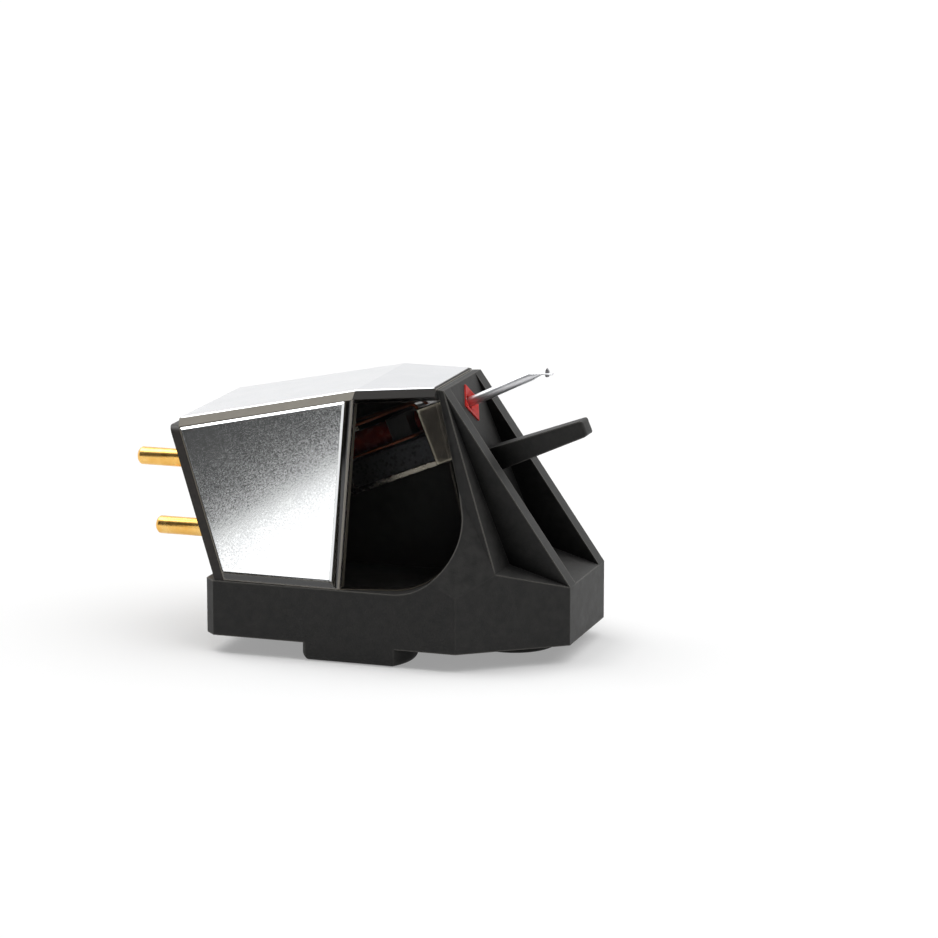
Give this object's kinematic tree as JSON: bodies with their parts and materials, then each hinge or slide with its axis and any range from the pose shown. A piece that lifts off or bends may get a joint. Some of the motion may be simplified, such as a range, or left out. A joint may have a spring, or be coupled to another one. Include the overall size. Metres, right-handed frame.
{
  "type": "turntable stylus cartridge",
  "caption": "Record player pickup cartridge lying on its mounting pads: ribbed wedge body, faceted smoked cover with bright plates, stylus on a sprung cantilever and rear output pins.",
  "frame": {"origin": "midway between the two mounting screws, on the face that meets the headshell", "axes": "+X forward to the stylus, +Y to one side, +Z away from the mounting face"},
  "size_m": [0.0302, 0.0172, 0.0188],
  "materials": {
    "body_moulding": "fine moulded grain",
    "smoked_cover": "polished, smoked and see-through",
    "bright_plate": "fine satin grain with bright bevelled edges",
    "terminal_board": "matte",
    "gold_plate": "gold plated, turned",
    "pole_metal": "plated soft iron",
    "magnet": "ground and plated",
    "copper_plate": "copper plated iron",
    "holder_plastic": "matte",
    "screw_steel": "plain steel",
    "red_rubber": "soft, slightly shiny",
    "coil_copper": "enamelled fine wire",
    "insert_brass": "turned",
    "cantilever_tube": "bright drawn tube",
    "stylus_stone": "ground diamond"
  },
  "bodies": {
    "cartridge": {"body": "body_moulding", "cover": "smoked_cover", "top_plate": "bright_plate", "side_plate_left": "bright_plate", "side_plate_right": "bright_plate", "terminal_plate": "terminal_board", "pin_left_upper": "gold_plate", "pin_right_upper": "gold_plate", "pin_left_lower": "gold_plate", "pin_right_lower": "gold_plate", "front_pole": "pole_metal", "magnet": "magnet", "yoke": "pole_metal", "rear_pole": "copper_plate", "pole_holder": "holder_plastic", "clamp_screw": "screw_steel", "suspension_wire": "screw_steel", "damper": "red_rubber", "lead_left_upper": "coil_copper", "lead_right_upper": "coil_copper", "lead_left_lower": "coil_copper", "lead_right_lower": "coil_copper", "insert_left": "insert_brass", "insert_right": "insert_brass", "insert_front": "insert_brass"},
    "pivot": {"pivot_ferrule": "insert_brass"},
    "stylus_arm": {"coil_former": "pole_metal", "coil_left_upper": "coil_copper", "coil_right_upper": "coil_copper", "coil_left_lower": "coil_copper", "coil_right_lower": "coil_copper", "cantilever_collar": "insert_brass", "cantilever": "cantilever_tube", "stylus": "stylus_stone"}
  },
  "joints": [
    {"name": "stylus_lateral", "type": "hinge", "parent": "cartridge", "child": "pivot", "pos_m": [0.0043, 0, 0.01559], "axis": [-0.4305, 0, 0.9026], "range_deg": [-2.5, 2.5], "stiffness_Nm_per_rad": 0.0036},
    {"name": "stylus_vertical", "type": "hinge", "parent": "pivot", "child": "stylus_arm", "pos_m": [0.0043, 0, 0.01559], "axis": [0, 1, 0], "range_deg": [-2.5, 2.5], "stiffness_Nm_per_rad": 0.0036}
  ]
}
